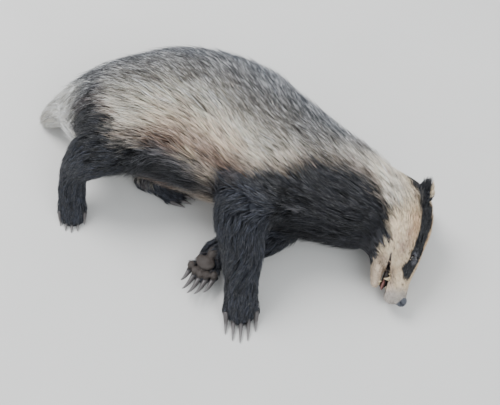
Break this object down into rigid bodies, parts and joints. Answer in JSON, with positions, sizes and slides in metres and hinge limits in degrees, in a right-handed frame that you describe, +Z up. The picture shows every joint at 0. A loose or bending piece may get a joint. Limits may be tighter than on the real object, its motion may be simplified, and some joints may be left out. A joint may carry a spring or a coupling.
{
  "type": "european badger",
  "caption": "Life-size still model of an adult European badger lying on its left side, with a striped black and white head, silver-grey back, black legs and throat, and long digging claws.",
  "frame": {"origin": "On the floor under the centre of the bounding box of the whole animal.", "axes": "+X toward the head end, +Y toward the back line, the legs reach toward -Y, +Z up with the floor at z = 0; the animal lies on its left side."},
  "size_m": [0.5259, 0.3837, 0.1681],
  "materials": {
    "coat_grey": "silver-grey guard hairs with dark bands, long and coarse, lying toward the tail",
    "coat_cream": "cream-white fur, short on the face, long on the neck and tail",
    "coat_black": "near-black fur with a faint bluish sheen",
    "nose_pad": "bare grainy nose skin, slightly moist",
    "mouth_flesh": "moist pink mouth lining and tongue",
    "eye": "dark glossy eye",
    "claw_horn": "smooth grey-brown horn, paler toward the tip",
    "paw_pads": "bare grey-brown pad skin, fine pebbled grain"
  },
  "bodies": {
    "root": {"trunk": "coat_grey", "neck": "coat_cream", "tail": "coat_cream", "head": "coat_cream", "lower_jaw": "coat_cream", "ear_right": "coat_black", "ear_left": "coat_black", "nose": "nose_pad", "tongue": "mouth_flesh", "eye_right": "eye", "eye_left": "eye", "foreleg_right": "coat_black", "foreleg_left": "coat_black", "hindleg_right": "coat_black", "hindleg_left": "coat_black", "forepaw_right": "coat_black", "forepaw_left": "paw_pads", "hindpaw_right": "coat_black", "hindpaw_left": "coat_black", "claw_fore_right_a": "claw_horn", "claw_fore_right_b": "claw_horn", "claw_fore_right_c": "claw_horn", "claw_fore_right_d": "claw_horn", "claw_fore_right_e": "claw_horn", "claw_fore_left_a": "claw_horn", "claw_fore_left_b": "claw_horn", "claw_fore_left_c": "claw_horn", "claw_fore_left_d": "claw_horn", "claw_fore_left_e": "claw_horn", "claw_hind_right_a": "claw_horn", "claw_hind_right_b": "claw_horn", "claw_hind_right_c": "claw_horn", "claw_hind_right_d": "claw_horn", "claw_hind_right_e": "claw_horn", "claw_hind_left_a": "claw_horn", "claw_hind_left_b": "claw_horn", "claw_hind_left_c": "claw_horn", "claw_hind_left_d": "claw_horn", "claw_hind_left_e": "claw_horn"}
  },
  "joints": []
}
